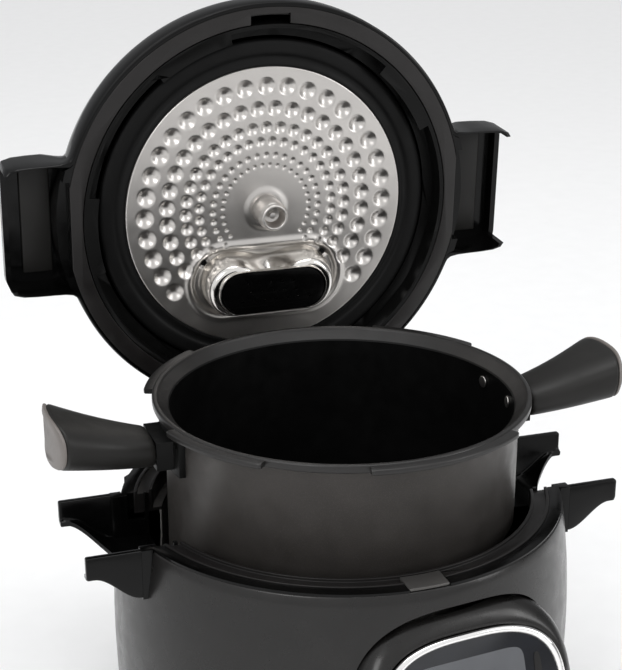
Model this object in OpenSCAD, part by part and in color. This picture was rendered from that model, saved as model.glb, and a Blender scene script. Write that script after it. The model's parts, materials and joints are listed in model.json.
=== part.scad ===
// Electric pressure cooker: the lid stands open on its rear hinge and the pot is lifted out of its well.
// Frame: +Z up, origin on the worktop under the pot's axis, control panel towards -Y, hinge towards +Y.

/* [Base] */
// Height of the collar's top face above the worktop
collar_z = 205; // [195:1:215]
// Largest radius of the barrel-shaped housing
shell_r = 152.5; // [151:0.5:154]
// Wall thickness of the housing
shell_wall = 2.6; // [2:0.2:3.4]
// Outer radius of the black collar
collar_r = 145.3; // [145:0.1:145.8]
// Inner radius of the rail ring round the well
rail_in_r = 125.2; // [124:0.2:126]
// Outer radius of the rail ring
rail_out_r = 137; // [136:0.2:137.1]
// Height of the feet
foot_h = 8; // [6:1:10]

/* [Side ears] */
// Distance from the axis to the tips of the ears
ear_tip_x = 181; // [176:1:186]
// Half of the outer width of an ear
ear_half_w = 45; // [43:1:48]
// Half of the gap between an ear's two prongs
ear_gap_half = 40; // [38:0.5:41]

/* [Control pod] */
// Sideways place of the pod's centre
pod_x = 9; // [5:1:14]
// Distance from the axis to the pod's face centre
pod_reach = 166; // [163:1:169]
// Height of the pod's face centre
pod_z = 122; // [118:1:126]
// Turn of the pod towards +X
pod_turn = 7; // [4:1:12]
// Depth of the pod's housing behind its face
pod_depth = 62; // [56:1:66]
// Backward lean of the pod's face
pod_tilt = 18; // [14:1:22]
// Half width of the chrome bezel
bezel_a = 64; // [60:1:66]
// Half height of the chrome bezel
bezel_b = 52; // [48:1:54]

/* [Pot] */
// Outer radius of the pot's wall
pot_r = 114.5; // [113:0.5:115.5]
// Wall thickness of the pot
pot_wall = 3; // [2.5:0.5:3.5]
// Height of the pot from its bottom to its rim
pot_h = 150; // [145:1:155]
// Outer radius of the pot's rim
rim_r = 122.5; // [121.5:0.5:122.5]
// Outer radius of the bayonet lugs on the rim
lug_r = 128.5; // [127:0.5:129]
// How far the pot is lifted out of the well
pot_lift = 63.5; // [40:0.5:63.5]

/* [Lid] */
// Angle by which the lid stands open
lid_open = 87; // [0:1:87]
// Outer radius of the lid's edge
lid_r = 148; // [147:0.5:148.5]
// Height of the dome above the lid's edge
lid_h = 74; // [70:1:80]
// Distance of the hinge pin behind the axis
hinge_y = 154; // [153.5:0.5:155]
// Depth of the hinge pin under the collar's top face
hinge_drop = 5; // [4.5:0.5:5.5]
// Radius of the steel sub-lid
disc_r = 101.5; // [100:0.5:102]
// Depth of the sub-lid behind the lid's edge
disc_recess = 11; // [10.5:0.5:11.5]
// Turn of the lock ring from open to locked
lock_turn = 34; // [30:1:34]

/* [Hidden] */
$fn = 120;
e = 0.01;
run_clear = 0.05;
seat_rise = 8;
rim_z = collar_z + seat_rise;
pot_z = rim_z - pot_h;
edge_z = collar_z + 0.5;
disc_z = edge_z + disc_recess;
hinge_z = collar_z - hinge_drop;
pin_r = 3;
knuckle_r = 7;
shell_low = 11;
foot_ring_r = 122;
foot_r = 11.5;
lugs = [[25, 60], [125.5, 160.5], [193.5, 228.5], [258, 308]];
hook_centres = [43, 143, 211, 289];
hook_half = 12.5;
cover_y = 53;
plate_z = pot_z - 0.3;
plate_h = 14;
liner_r = 120.5;
liner_low = 44;
slot_half = 37;
rear_y = 141;
well_cut_z = 174;

// ---- helpers ----

// Places children of the lid, which are drawn in the closed lid's position
module in_lid() {
    translate([0, hinge_y, hinge_z])
        rotate([-lid_open, 0, 0])
            translate([0, -hinge_y, -hinge_z])
                children();
}

// Places children of the pot, which are drawn seated in the well
module in_pot() {
    translate([0, 0, pot_lift])
        children();
}

// Places children on the pod's face: X to the right, Y up the face, Z outwards
module on_pod() {
    rotate([0, 0, pod_turn])
        translate([pod_x, -pod_reach, pod_z])
            rotate([90 - pod_tilt, 0, 0])
                children();
}

module both_sides() {
    children();
    mirror([1, 0, 0])
        children();
}

module tube(r_out, r_in, low, high) {
    translate([0, 0, low])
        difference() {
            cylinder(r = r_out, h = high - low);
            translate([0, 0, -1])
                cylinder(r = r_in, h = high - low + 2);
        }
}

module block(x, y, z) {
    translate([x[0], y[0], z[0]])
        cube([x[1] - x[0], y[1] - y[0], z[1] - z[0]]);
}

// Ring sector between two angles
module sector(r_out, r_in, low, high, from, to) {
    rotate([0, 0, from])
        translate([0, 0, low])
            rotate_extrude(angle = to - from)
                translate([r_in, 0])
                    square([r_out - r_in, high - low]);
}

// Flat outline with round ends, w wide over all and d deep
module obround(w, d) {
    translate([-(w - d) / 2, 0])
        circle(d = d);
    translate([(w - d) / 2, 0])
        circle(d = d);
    square([w - d, d], center = true);
}

function superellipse(a, b, n = 3, steps = 72) = [for (i = [0:steps - 1])
    let (t = 360 * i / steps, c = cos(t), s = sin(t))
    [a * sign(c) * pow(abs(c), 2 / n), b * sign(s) * pow(abs(s), 2 / n)]];

// Housing radius at a height: a barrel that draws in a little at the top and bottom
function barrel(z) = z > 120 ? shell_r - 7 * pow((z - 120) / 85, 2) : shell_r - 6 * pow((120 - z) / 109, 2);

function barrel_side(inset, low, high, steps = 18) = [for (i = [0:steps])
    let (z = low + (high - low) * i / steps)
    [barrel(z) - inset, z]];

// Dome radius and height: a quarter of a rounded square from the skirt to the crown
function dome_side(inset, steps = 20) = [for (i = [0:steps])
    let (t = 90 * i / steps)
    [(lid_r - inset) * pow(cos(t), 0.62), edge_z + 14 + (lid_h - 14 - inset) * pow(sin(t), 0.9)]];

// ---- base ----

module base_shell() {
    top = collar_z - 2.2;
    color([0.24, 0.23, 0.22])
        difference() {
            rotate_extrude()
                difference() {
                    polygon(concat([[0, shell_low]], barrel_side(0, shell_low, top), [[0, top]]));
                    polygon(concat([[0, shell_low + 3]], barrel_side(shell_wall, shell_low + 3, top),
                        [[0, top]]));
                    translate([-1, 0])
                        square([121, shell_low + 10]);
                    translate([-1, top - e])
                        square([200, 1]);
                }
            // passages for the pot's handles
            both_sides()
                block([100, 200], [-ear_half_w - 0.2, ear_half_w + 0.2], [well_cut_z - 3.2, collar_z]);
            // seat of the control pod
            on_pod()
                translate([0, 0, -70])
                    linear_extrude(90)
                        polygon(superellipse(bezel_a + 10.2, bezel_b + 18.2));
            // flat recess for the inlet and the switch
            block([-52.2, 52.2], [110, 170], [20.8, 84.2]);
            // notch for the hinge
            block([-34.2, 34.2], [130, 170], [182.8, collar_z]);
        }
}

// One prong of an ear, seen in the X-Z plane and given its thickness along Y
module ear_prong() {
    translate([0, ear_half_w, 0])
        rotate([90, 0, 0])
            linear_extrude(ear_half_w - ear_gap_half)
                polygon([[139, well_cut_z - 3], [150, well_cut_z - 3], [ear_tip_x - 22, collar_z - 21],
                    [ear_tip_x - 3, collar_z - 16.5], [ear_tip_x, collar_z - 12],
                    [ear_tip_x + 1, collar_z - 0.7], [139, collar_z - 0.7]]);
}

module ear() {
    ear_prong();
    mirror([0, 1, 0])
        ear_prong();
    // floor web, cut back in a curve so that the pot's handle hangs through
    difference() {
        block([122, ear_tip_x - 8], [-ear_half_w, ear_half_w], [well_cut_z - 3, well_cut_z]);
        translate([ear_tip_x + 4, 0, well_cut_z - 5])
            cylinder(r = 38, h = 8);
        translate([0, 0, well_cut_z - 4])
            cylinder(r = 122, h = 5);
    }
    // side walls of the passage
    for (side = [-1, 1])
        translate([0, side * (slot_half + 1.5), 0])
            block([122, 150], [-1.5, 1.5], [well_cut_z - 3, collar_z - 0.7]);
}

module top_collar() {
    color([0.05, 0.05, 0.05])
        difference() {
            union() {
                tube(collar_r, rail_out_r + 0.2, collar_z - 2.2, collar_z - 0.7);
                tube(collar_r - 3.2, rail_out_r + 0.2, collar_z - 12, collar_z - 2.2 + e);
                both_sides()
                    intersection() {
                        ear();
                        tube(220, 121, 150, collar_z);
                    }
            }
            both_sides()
                block([100, 146], [-slot_half, slot_half], [well_cut_z, collar_z + 1]);
            both_sides()
                for (side = [-1, 1])
                    translate([0, side * (slot_half + 1.5), 0])
                        block([124.5, rail_out_r - 0.8], [-1.7, 1.7], [186, collar_z + 1]);
            block([-34.2, 34.2], [136, 170], [180, collar_z + 1]);
            translate([0, 0, collar_z - 8.2])
                block([-9.2, 17.2], [-150, -126], [0, 9]);
        }
}

module rail_ring() {
    color([0.33, 0.32, 0.31])
        difference() {
            union() {
                tube(rail_out_r, rail_in_r, collar_z - 16, collar_z - 2);
                tube(rail_in_r + 2, rail_in_r, collar_z - 2 - e, collar_z);
                tube(rail_out_r, rail_out_r - 2, collar_z - 2 - e, collar_z);
                tube(rail_in_r + 1, 119.2, collar_z - 16, collar_z - 13.5);
            }
            both_sides()
                block([100, 160], [-slot_half - 3.2, slot_half + 3.2], [well_cut_z, collar_z + 1]);
            intersection() {
                tube(150, 127.7, collar_z - 8.2, collar_z + 1);
                block([-9.2, 17.2], [-150, -120], [collar_z - 9, collar_z + 1]);
            }
        }
}

module front_tab() {
    color([0.42, 0.41, 0.40])
        intersection() {
            union() {
                tube(collar_r - 0.6, 128, collar_z - 2.1, collar_z - 0.2);
                tube(collar_r - 3.4, 128, collar_z - 8, collar_z - 2);
            }
            block([-9, 17], [-150, -120], [collar_z - 8, collar_z]);
        }
}

module inner_liner() {
    color([0.70, 0.70, 0.69])
        difference() {
            tube(liner_r, liner_r - 1.3, liner_low, collar_z - 16);
            both_sides()
                block([100, 160], [-slot_half - 3, slot_half + 3], [well_cut_z - 3.2, collar_z]);
        }
}

module well_floor() {
    color([0.68, 0.68, 0.67])
        tube(liner_r - 1.35, 20, liner_low, liner_low + 1.2);
}

module heating_plate() {
    low = plate_z - plate_h;
    color([0.62, 0.61, 0.60]) {
        difference() {
            translate([0, 0, low])
                cylinder(r = 98, h = plate_h);
            translate([0, 0, low - 1])
                cylinder(r = 16, h = plate_h + 2);
            translate([0, 0, low - 1])
                rotate_extrude()
                    translate([68, 0])
                        square([10, 8.5]);
        }
        // legs on the well's floor
        for (a = [90, 210, 330])
            rotate([0, 0, a])
                translate([50, 0, liner_low + 1.2])
                    cylinder(r = 5, h = low - liner_low - 1.2 + e);
    }
}

module heating_element() {
    color([0.35, 0.30, 0.27])
        translate([0, 0, plate_z - plate_h + 2.9])
            rotate_extrude()
                translate([73, 0])
                    circle(r = 4.4);
}

// Cup under the well's floor that guides the temperature sensor
module sensor_cup() {
    color([0.60, 0.60, 0.60])
        difference() {
            union() {
                tube(15.5, 13.7, liner_low - 1, plate_z - 1.5);
                translate([0, 0, liner_low - 2.5])
                    cylinder(r = 28, h = 2.5);
            }
            translate([0, 0, 30])
                cylinder(r = 3.2, h = 20);
        }
}

module sensor_plunger() {
    color([0.75, 0.74, 0.72])
        translate([0, 0, plate_z + 3]) {
            translate([0, 0, -7])
                cylinder(r = 13.7 - run_clear, h = 7);
            translate([0, 0, -12])
                cylinder(r = 3, h = 6);
        }
}

// Points of one wire ring of the spring at step k of n
function wire_ring(k, n, turns, r, pitch, wire) = let (a = 360 * turns * k / n)
    [for (j = [0:5]) let (b = 60 * j)
        [(r + wire * cos(b)) * cos(a), (r + wire * cos(b)) * sin(a), pitch * turns * k / n + wire * sin(b)]];

module sensor_spring() {
    turns = 4;
    rings = 64;
    pts = [for (k = [0:rings]) each wire_ring(k, rings, turns, 9, 3.1, 0.6)];
    sides = [for (k = [0:rings - 1], j = [0:5])
        [6 * k + j, 6 * (k + 1) + j, 6 * (k + 1) + (j + 1) % 6, 6 * k + (j + 1) % 6]];
    color([0.55, 0.55, 0.55])
        translate([0, 0, liner_low + 0.9])
            polyhedron(pts, concat([[0, 1, 2, 3, 4, 5]], sides,
                [[for (j = [5:-1:0]) 6 * rings + j]]), convexity = 8);
}

module bottom_cover() {
    color([0.08, 0.08, 0.08])
        difference() {
            union() {
                translate([0, 0, foot_h])
                    cylinder(r = 144, h = 3);
                tube(118.8, 116.5, shell_low - e, 20);
            }
            for (a = [0:15:345])
                rotate([0, 0, a])
                    translate([60, -2, foot_h - 1])
                        cube([34, 4, 5]);
            for (a = [45:90:315])
                rotate([0, 0, a])
                    translate([108, 0, foot_h - 1])
                        cylinder(r = 2.2, h = 5);
        }
}

module feet() {
    color([0.12, 0.12, 0.12])
        for (a = [30, 150, 210, 330])
            rotate([0, 0, a])
                translate([foot_ring_r, 0, 0])
                    cylinder(r = foot_r, h = foot_h);
}

module bottom_screws() {
    color([0.6, 0.6, 0.6])
        for (a = [45:90:315])
            rotate([0, 0, a])
                translate([108, 0, foot_h - 1.6]) {
                    cylinder(r = 4, h = 1.6);
                    cylinder(r = 2.1, h = 10);
                }
}

module panel_pod() {
    color([0.22, 0.21, 0.20])
        difference() {
            on_pod()
                translate([0, 0, -pod_depth])
                    difference() {
                        linear_extrude(pod_depth)
                            polygon(superellipse(bezel_a + 10, bezel_b + 18));
                        translate([0, 0, -1])
                            linear_extrude(pod_depth - 2)
                                polygon(superellipse(bezel_a + 7, bezel_b + 15));
                        linear_extrude(pod_depth + 10)
                            polygon(superellipse(bezel_a - 6, bezel_b - 6));
                    }
            translate([0, 0, 30])
                cylinder(r = 142, h = 180);
        }
}

module panel_bezel() {
    color([0.88, 0.87, 0.86])
        on_pod()
            translate([0, 0, 0.02])
                linear_extrude(3)
                    difference() {
                        polygon(superellipse(bezel_a, bezel_b));
                        polygon(superellipse(bezel_a - 4.5, bezel_b - 4.5));
                    }
}

module panel_glass() {
    color([0.06, 0.06, 0.07])
        on_pod()
            translate([0, 0, 0.02])
                linear_extrude(2)
                    polygon(superellipse(bezel_a - 4.55, bezel_b - 4.55));
}

module display_screen() {
    color([0.28, 0.29, 0.31])
        on_pod()
            translate([-1, 3, -4.2])
                linear_extrude(3.8)
                    square([84, 54], center = true);
}

module control_board() {
    color([0.10, 0.32, 0.18])
        on_pod()
            translate([-1, 3, -10]) {
                linear_extrude(1.6)
                    square([94, 66], center = true);
                translate([-34, -22, 1.6 - e])
                    cube([4, 44, 3]);
                translate([28, -8, 1.6 - e])
                    cube([12, 12, 2]);
            }
}

module power_board() {
    color([0.12, 0.30, 0.16])
        translate([-70, -96, 22]) {
            cube([110, 62, 1.6]);
            translate([12, 12, 1.6 - e])
                cylinder(r = 8, h = 12);
            translate([34, 8, 1.6 - e])
                cube([24, 20, 11]);
            translate([70, 14, 1.6 - e])
                cube([22, 30, 9]);
        }
}

// Sunken rear plate with a frame that reaches out to the housing
module rear_plate() {
    color([0.09, 0.09, 0.09])
        difference() {
            union() {
                block([-52, 52], [rear_y - 3, rear_y], [21, 84]);
                intersection() {
                    difference() {
                        block([-52, 52], [rear_y - 3, 160], [21, 84]);
                        block([-49.5, 49.5], [rear_y - 4, 161], [23.5, 81.5]);
                    }
                    rotate_extrude()
                        polygon(concat([[0, shell_low]], barrel_side(0.3, shell_low, collar_z),
                            [[0, collar_z]]));
                }
            }
            block([-48.1, -5.9], [120, 160], [33.9, 66.1]);
            block([9.9, 42.1], [120, 160], [36.9, 63.1]);
        }
}

module inlet_socket() {
    color([0.04, 0.04, 0.04])
        difference() {
            union() {
                block([-48, -6], [rear_y - 19, rear_y], [34, 66]);
                block([-49, -4], [rear_y - e, rear_y + 2], [32, 68]);
            }
            block([-41, -13], [rear_y - 16, rear_y + 5], [40.5, 59.5]);
        }
}

module inlet_pins() {
    color([0.80, 0.76, 0.66])
        for (p = [[-34, 47], [-27, 53], [-20, 47]])
            translate([p[0] - 1, rear_y - 16 - e, p[1] - 2])
                cube([2, 12, 4]);
}

module switch_frame() {
    color([0.05, 0.05, 0.05])
        difference() {
            union() {
                block([10, 42], [rear_y - 19, rear_y], [37, 63]);
                block([8, 44], [rear_y - e, rear_y + 2], [35, 65]);
            }
            block([13, 39], [rear_y - 14, rear_y + 5], [39.6, 60.4]);
            translate([11, rear_y - 4, 50])
                rotate([0, 90, 0])
                    cylinder(r = 1.5 + run_clear, h = 30);
        }
}

// Rocker, tipped towards its lower edge
module switch_rocker() {
    color([0.10, 0.10, 0.10])
        translate([0, rear_y - 4, 50])
            rotate([0, 90, 0]) {
                translate([0, 0, 13.6])
                    linear_extrude(24.8)
                        polygon([[-7.4, 6.4], [-7.4, -4], [7.4, -4], [7.4, 8.4], [0, 6.2]]);
                translate([0, 0, 11.4])
                    cylinder(r = 1.5, h = 29.2);
            }
}

// Pad on the housing that the condensate cup hooks over
module cup_holder() {
    color([0.08, 0.08, 0.08])
        difference() {
            sector(153.7, 146, 128, 172, 114, 128);
            rotate_extrude()
                polygon(concat([[0, shell_low]], barrel_side(-0.02, shell_low, collar_z - 2),
                    [[0, collar_z - 2]]));
        }
}

module condensate_cup() {
    color([0.20, 0.20, 0.21])
        difference() {
            sector(172, 154, 120, 178, 108, 134);
            sector(169.6, 156.4, 122.4, 190, 110, 132);
        }
}

module hinge_bracket() {
    color([0.06, 0.06, 0.06])
        difference() {
            union() {
                block([-34, 34], [140, 146], [183, hinge_z - knuckle_r - 1]);
                block([-34, 34], [145, 160], [183, hinge_z - knuckle_r - 3]);
                both_sides()
                    block([24, 34], [142, hinge_y], [183, hinge_z]);
                both_sides()
                    block([24, 34], [hinge_y - e, hinge_y + 6], [183, hinge_z]);
                both_sides()
                    translate([24, hinge_y, hinge_z])
                        rotate([0, 90, 0])
                            cylinder(r = knuckle_r - 1, h = 10);
            }
            translate([-40, hinge_y, hinge_z])
                rotate([0, 90, 0])
                    cylinder(r = pin_r + run_clear, h = 80);
        }
}

module hinge_pin() {
    color([0.7, 0.7, 0.7])
        translate([-34, hinge_y, hinge_z])
            rotate([0, 90, 0])
                cylinder(r = pin_r, h = 68);
}

// ---- lid, drawn closed ----

// Outline of a lid ear in plan, from the skirt out to the rounded tip
module lid_ear_outline(inset = 0) {
    polygon([[128, ear_half_w + 14 - inset], [142, ear_half_w + 6 - inset], [150, ear_half_w + 3 - inset],
        [ear_tip_x + 1 - inset, ear_half_w + 1 - inset], [ear_tip_x + 4 - inset, 18],
        [ear_tip_x + 5 - inset, 0], [ear_tip_x + 4 - inset, -18],
        [ear_tip_x + 1 - inset, -ear_half_w - 1 + inset], [150, -ear_half_w - 3 + inset],
        [142, -ear_half_w - 6 + inset], [128, -ear_half_w - 14 + inset]]);
}

module lid_shell() {
    ear_top = edge_z + 33;
    color([0.05, 0.05, 0.05])
        in_lid()
            difference() {
                union() {
                    rotate_extrude()
                        polygon(concat([[0, edge_z], [lid_r, edge_z]], dome_side(0)));
                    both_sides()
                        translate([0, 0, edge_z])
                            linear_extrude(33)
                                lid_ear_outline();
                    // hinge knuckle
                    translate([-22, hinge_y, hinge_z])
                        rotate([0, 90, 0])
                            cylinder(r = knuckle_r, h = 44);
                    translate([-22, 0, 0])
                        rotate([90, 0, 90])
                            linear_extrude(44)
                                polygon([[140, edge_z], [hinge_y - knuckle_r, hinge_z],
                                    [hinge_y, hinge_z], [hinge_y + knuckle_r, hinge_z],
                                    [hinge_y + 4, edge_z + 8], [146, edge_z + 16], [140, edge_z + 16]]);
                }
                difference() {
                    union() {
                        translate([0, 0, edge_z - 20])
                            cylinder(r = 140.8, h = 35);
                        translate([0, 0, edge_z - 1])
                            cylinder(r = 145.2, h = 4.1);
                        rotate_extrude()
                            polygon(concat([[0, edge_z + 14], [lid_r - 3, edge_z + 14]], dome_side(3)));
                    }
                    // three bosses that carry the core
                    for (a = [0, 120, 240])
                        rotate([0, 0, a])
                            translate([78, 0, edge_z + 50])
                                cylinder(r = 7, h = 40);
                }
                // hollow of each ear, open below and at its end for the pot's handle
                both_sides() {
                    translate([0, 0, edge_z - 1])
                        linear_extrude(31)
                            difference() {
                                lid_ear_outline(3);
                                translate([100, -60])
                                    square([50, 120]);
                            }
                    block([170, 200], [-ear_gap_half - 2, ear_gap_half + 2], [edge_z - 1, edge_z + 22]);
                    block([142, 152], [-34, 34], [edge_z - 1, edge_z + 8]);
                }
                translate([0, 0, edge_z + 40])
                    cylinder(r = 22 + 0.4, h = 60);
                rotate([0, 0, 30])
                    translate([55, 0, edge_z + 40])
                        cylinder(r = 3 + run_clear, h = 60);
                translate([-40, hinge_y, hinge_z])
                    rotate([0, 90, 0])
                        cylinder(r = pin_r + run_clear, h = 80);
            }
}

module lid_trim_ring() {
    color([0.21, 0.20, 0.19])
        in_lid()
            difference() {
                union() {
                    tube(145, 133.8, edge_z, edge_z + 3);
                    tube(140.7, 138.6, edge_z + 3 - e, edge_z + 14);
                }
                block([-14, 14], [-140, -133], [edge_z - 1, edge_z + 4]);
                both_sides()
                    block([142, 152], [-34, 34], [edge_z - 1, edge_z + 8]);
            }
}

module lid_core() {
    color([0.10, 0.10, 0.10])
        in_lid()
            difference() {
                union() {
                    tube(101.3, 8, disc_z + 3, disc_z + 6);
                    for (a = [0, 120, 240])
                        rotate([0, 0, a])
                            translate([78, 0, disc_z + 6 - e])
                                cylinder(r = 6, h = edge_z + 50 - disc_z - 6);
                }
                translate([0, cover_y, disc_z])
                    cylinder(r = 9 + 0.4, h = 10);
                rotate([0, 0, 30])
                    translate([55, 0, disc_z])
                        cylinder(r = 3 + run_clear, h = 20);
            }
}

module lid_stud() {
    color([0.70, 0.69, 0.67])
        in_lid() {
            translate([0, 0, disc_z - 19])
                cylinder(r = 2.4, h = 19 + 1);
            translate([0, 0, disc_z + e])
                cylinder(r = 7.9, h = 12);
        }
}

module sub_lid() {
    color([0.72, 0.70, 0.67])
        in_lid()
            difference() {
                union() {
                    tube(disc_r, 2.5, disc_z - 1, disc_z);
                    tube(disc_r, disc_r - 1.2, disc_z - 1, disc_z + 2.8);
                    // shallow dish round the valve cover
                    translate([0, cover_y, disc_z - e])
                        linear_extrude(2.8)
                            difference() {
                                obround(112, 50);
                                obround(110, 48);
                            }
                }
                translate([0, cover_y, disc_z - 3])
                    linear_extrude(4)
                        obround(108, 46);
            }
}

module sub_lid_nut() {
    color([0.66, 0.64, 0.61])
        in_lid()
            translate([0, 0, disc_z - 1 - 23.3])
                difference() {
                    union() {
                        cylinder(r = 9.6, h = 5);
                        translate([0, 0, 5 - e])
                            cylinder(r = 10.5, h = 18);
                    }
                    translate([0, 0, -1])
                        cylinder(r = 7.4, h = 10);
                    cylinder(r = 2.4 + run_clear, h = 30);
                }
}

module lid_seal() {
    color([0.30, 0.30, 0.30])
        in_lid()
            rotate_extrude()
                polygon([[103.8, disc_z + 5.5], [101.8, disc_z + 2.6], [101.8, disc_z + 0.2],
                    [106, disc_z - 0.4], [119, disc_z - 0.4], [121, disc_z + 1.5],
                    [121, disc_z + 2.6], [106, disc_z + 2.6],
                    [105.5, disc_z + 5.5]]);
}

module valve_cover() {
    color([0.78, 0.77, 0.75])
        in_lid()
            translate([0, cover_y, 0])
                difference() {
                    union() {
                        translate([0, 0, disc_z - 20])
                            linear_extrude(21.5)
                                obround(96, 42);
                    }
                    translate([0, 0, disc_z - 18.8])
                        linear_extrude(30)
                            obround(93.6, 39.6);
                    translate([0, -24, disc_z - 22])
                        cylinder(r = 9, h = 30);
                    translate([0, 0, disc_z - 23])
                        linear_extrude(8)
                            obround(74, 24);
                }
}

module valve_cap() {
    color([0.07, 0.07, 0.07])
        in_lid()
            translate([0, cover_y + 2, 0])
                difference() {
                    translate([0, 0, disc_z - 22.4])
                        linear_extrude(2.3)
                            obround(76, 30);
                    for (row = [-1:1], k = [-3:3])
                        if (abs(k) < 3 || row == 1)
                            translate([k * 8.4 + row * 2, row * 6.6, disc_z - 24])
                                cylinder(r = 0.9, h = 6);
                }
}

module silent_valve() {
    color([0.74, 0.72, 0.68])
        in_lid()
            translate([0, cover_y, disc_z + 3]) {
                translate([0, 0, -8])
                    cylinder(r = 6, h = 8);
                translate([0, 0, -e])
                    cylinder(r = 9, h = 7);
            }
}

module pressure_pin() {
    color([0.75, 0.12, 0.10])
        in_lid()
            rotate([0, 0, 30])
                translate([55, 0, disc_z + 0.8])
                    cylinder(r = 3, h = edge_z + lid_h - 0.8 - disc_z);
}

module steam_vent() {
    color([0.09, 0.09, 0.09])
        in_lid()
            difference() {
                translate([0, 92, edge_z + 58])
                    rotate([-18, 0, 0])
                        difference() {
                            cylinder(r = 15, h = 17);
                            for (k = [-2:2])
                                translate([-9, k * 4 - 0.8, 15])
                                    cube([18, 1.6, 3]);
                        }
                rotate_extrude()
                    polygon(concat([[0, edge_z]], dome_side(-0.02)));
            }
}

module ear_pads() {
    color([0.34, 0.33, 0.32])
        in_lid()
            both_sides()
                translate([0, 0, edge_z + 27])
                    block([151, 172], [-38, 38], [0, 3]);
}

module lock_ring() {
    color([0.07, 0.07, 0.07])
        in_lid() {
            tube(133.2, 122.8, disc_z + 3.4, disc_z + 6);
            tube(133.2, 130.4, edge_z + 0.3, disc_z + 3.4 + e);
            for (c = hook_centres)
                sector(130.4 + e, 123.4, edge_z + 0.3, edge_z + 3, c + lock_turn - hook_half,
                    c + lock_turn + hook_half);
            // three arms that join the ring to the spindle
            for (a = [85, 205, 325])
                rotate([0, 0, a]) {
                    block([20, 127], [-8, 8], [disc_z + 14, disc_z + 18]);
                    block([122.8, 127], [-8, 8], [disc_z + 6 - e, disc_z + 14 + e]);
                }
        }
}

module lock_spindle() {
    color([0.12, 0.12, 0.12])
        in_lid()
            tube(22, 14, disc_z + 18, edge_z + lid_h + 4);
}

module lock_handle() {
    color([0.04, 0.04, 0.04])
        in_lid()
            translate([0, 0, edge_z + lid_h + 0.4])
                difference() {
                    union() {
                        cylinder(r1 = 44, r2 = 40, h = 8);
                        rotate([0, 0, 90])
                            linear_extrude(24)
                                obround(76, 22);
                    }
                    translate([0, 0, -1])
                        cylinder(r = 22, h = 1 + 3.6);
                }
}

// ---- pot, drawn seated ----

module pot_body() {
    inner = pot_r - pot_wall;
    corner = 14;
    color([0.30, 0.28, 0.26])
        in_pot()
            translate([0, 0, pot_z]) {
                rotate_extrude()
                    polygon(concat(
                        [[0, 0], [pot_r - corner, 0]],
                        [for (t = [-75:15:-15]) [pot_r - corner + corner * cos(t), corner + corner * sin(t)]],
                        [[pot_r, corner], [pot_r, pot_h - 8], [rim_r, pot_h - 4.5], [rim_r, pot_h - 0.6],
                            [rim_r - 0.6, pot_h], [119.4, pot_h], [118.8, pot_h - 1.2], [inner, pot_h - 7],
                            [inner, corner]],
                        [for (t = [-15:-15:-75])
                            [pot_r - corner + (corner - pot_wall) * cos(t),
                                corner + (corner - pot_wall) * sin(t)]],
                        [[pot_r - corner, pot_wall + 0.6], [0, pot_wall + 0.6]]));
                for (lug = lugs)
                    sector(lug_r, rim_r - 1.2, pot_h - 4.2, pot_h - 0.8, lug[0], lug[1]);
            }
}

// Bracket between the pot's wall and a grip
module pot_brackets() {
    color([0.05, 0.05, 0.05])
        in_pot()
            both_sides()
                difference() {
                    union() {
                        intersection() {
                            tube(pot_r + 4, pot_r, rim_z - 36, rim_z - 9);
                            block([90, 130], [-25, 25], [0, 300]);
                        }
                        block([pot_r, 128], [-17, 17], [rim_z - 33, rim_z - 14]);
                    }
                    translate([0, 0, pot_z])
                        cylinder(r = pot_r, h = pot_h);
                    for (side = [-1, 1])
                        rotate([0, 0, side * 10])
                            translate([pot_r - 1, 0, rim_z - 16])
                                rotate([0, 90, 0])
                                    cylinder(r = 2, h = 8);
                }
}

module pot_rivets() {
    color([0.75, 0.74, 0.72])
        in_pot()
            both_sides()
                for (side = [-1, 1])
                    rotate([0, 0, side * 10])
                        translate([pot_r - pot_wall - 1.2, 0, rim_z - 16])
                            rotate([0, 90, 0])
                                cylinder(r = 4, h = 1.1);
}

// Stack of rounded slices that widens towards the tip and climbs
function grip_mid_z(x) = rim_z - 23 + 15 * pow(max(0, x - 126) / 66, 1.25);
function grip_half_h(x) = 10 + 7 * max(0, x - 126) / 66;
function grip_half_w(x) = 19 + 12 * pow(max(0, x - 126) / 66, 1.2);

module grip_slice(x, thick) {
    translate([x, 0, grip_mid_z(x)])
        rotate([90, 0, 90])
            linear_extrude(thick)
                polygon(superellipse(grip_half_w(x), grip_half_h(x), 2.8, 40));
}

module grip_shape() {
    steps = 5;
    for (i = [0:steps - 1])
        hull() {
            grip_slice(128 + 62 * i / steps, 0.5);
            grip_slice(128 + 62 * (i + 1) / steps, 0.5);
        }
}

module grip_cap_shape() {
    grip_slice(190.55, 2.4);
}

module grip_right() {
    color([0.28, 0.27, 0.25])
        in_pot()
            grip_shape();
}

module grip_left() {
    color([0.28, 0.27, 0.25])
        in_pot()
            mirror([1, 0, 0])
                grip_shape();
}

module grip_cap_right() {
    color([0.74, 0.71, 0.68])
        in_pot()
            grip_cap_shape();
}

module grip_cap_left() {
    color([0.74, 0.71, 0.68])
        in_pot()
            mirror([1, 0, 0])
                grip_cap_shape();
}

base_shell();
top_collar();
rail_ring();
front_tab();
inner_liner();
well_floor();
heating_plate();
heating_element();
sensor_plunger();
sensor_spring();
sensor_cup();
bottom_cover();
feet();
bottom_screws();
panel_pod();
panel_bezel();
panel_glass();
display_screen();
control_board();
power_board();
rear_plate();
inlet_socket();
inlet_pins();
switch_frame();
switch_rocker();
cup_holder();
condensate_cup();
hinge_bracket();
hinge_pin();
lid_shell();
lid_trim_ring();
lid_core();
lid_stud();
sub_lid();
sub_lid_nut();
lid_seal();
valve_cover();
valve_cap();
silent_valve();
pressure_pin();
steam_vent();
ear_pads();
lock_ring();
lock_spindle();
lock_handle();
pot_body();
pot_brackets();
pot_rivets();
grip_left();
grip_right();
grip_cap_left();
grip_cap_right();
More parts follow.
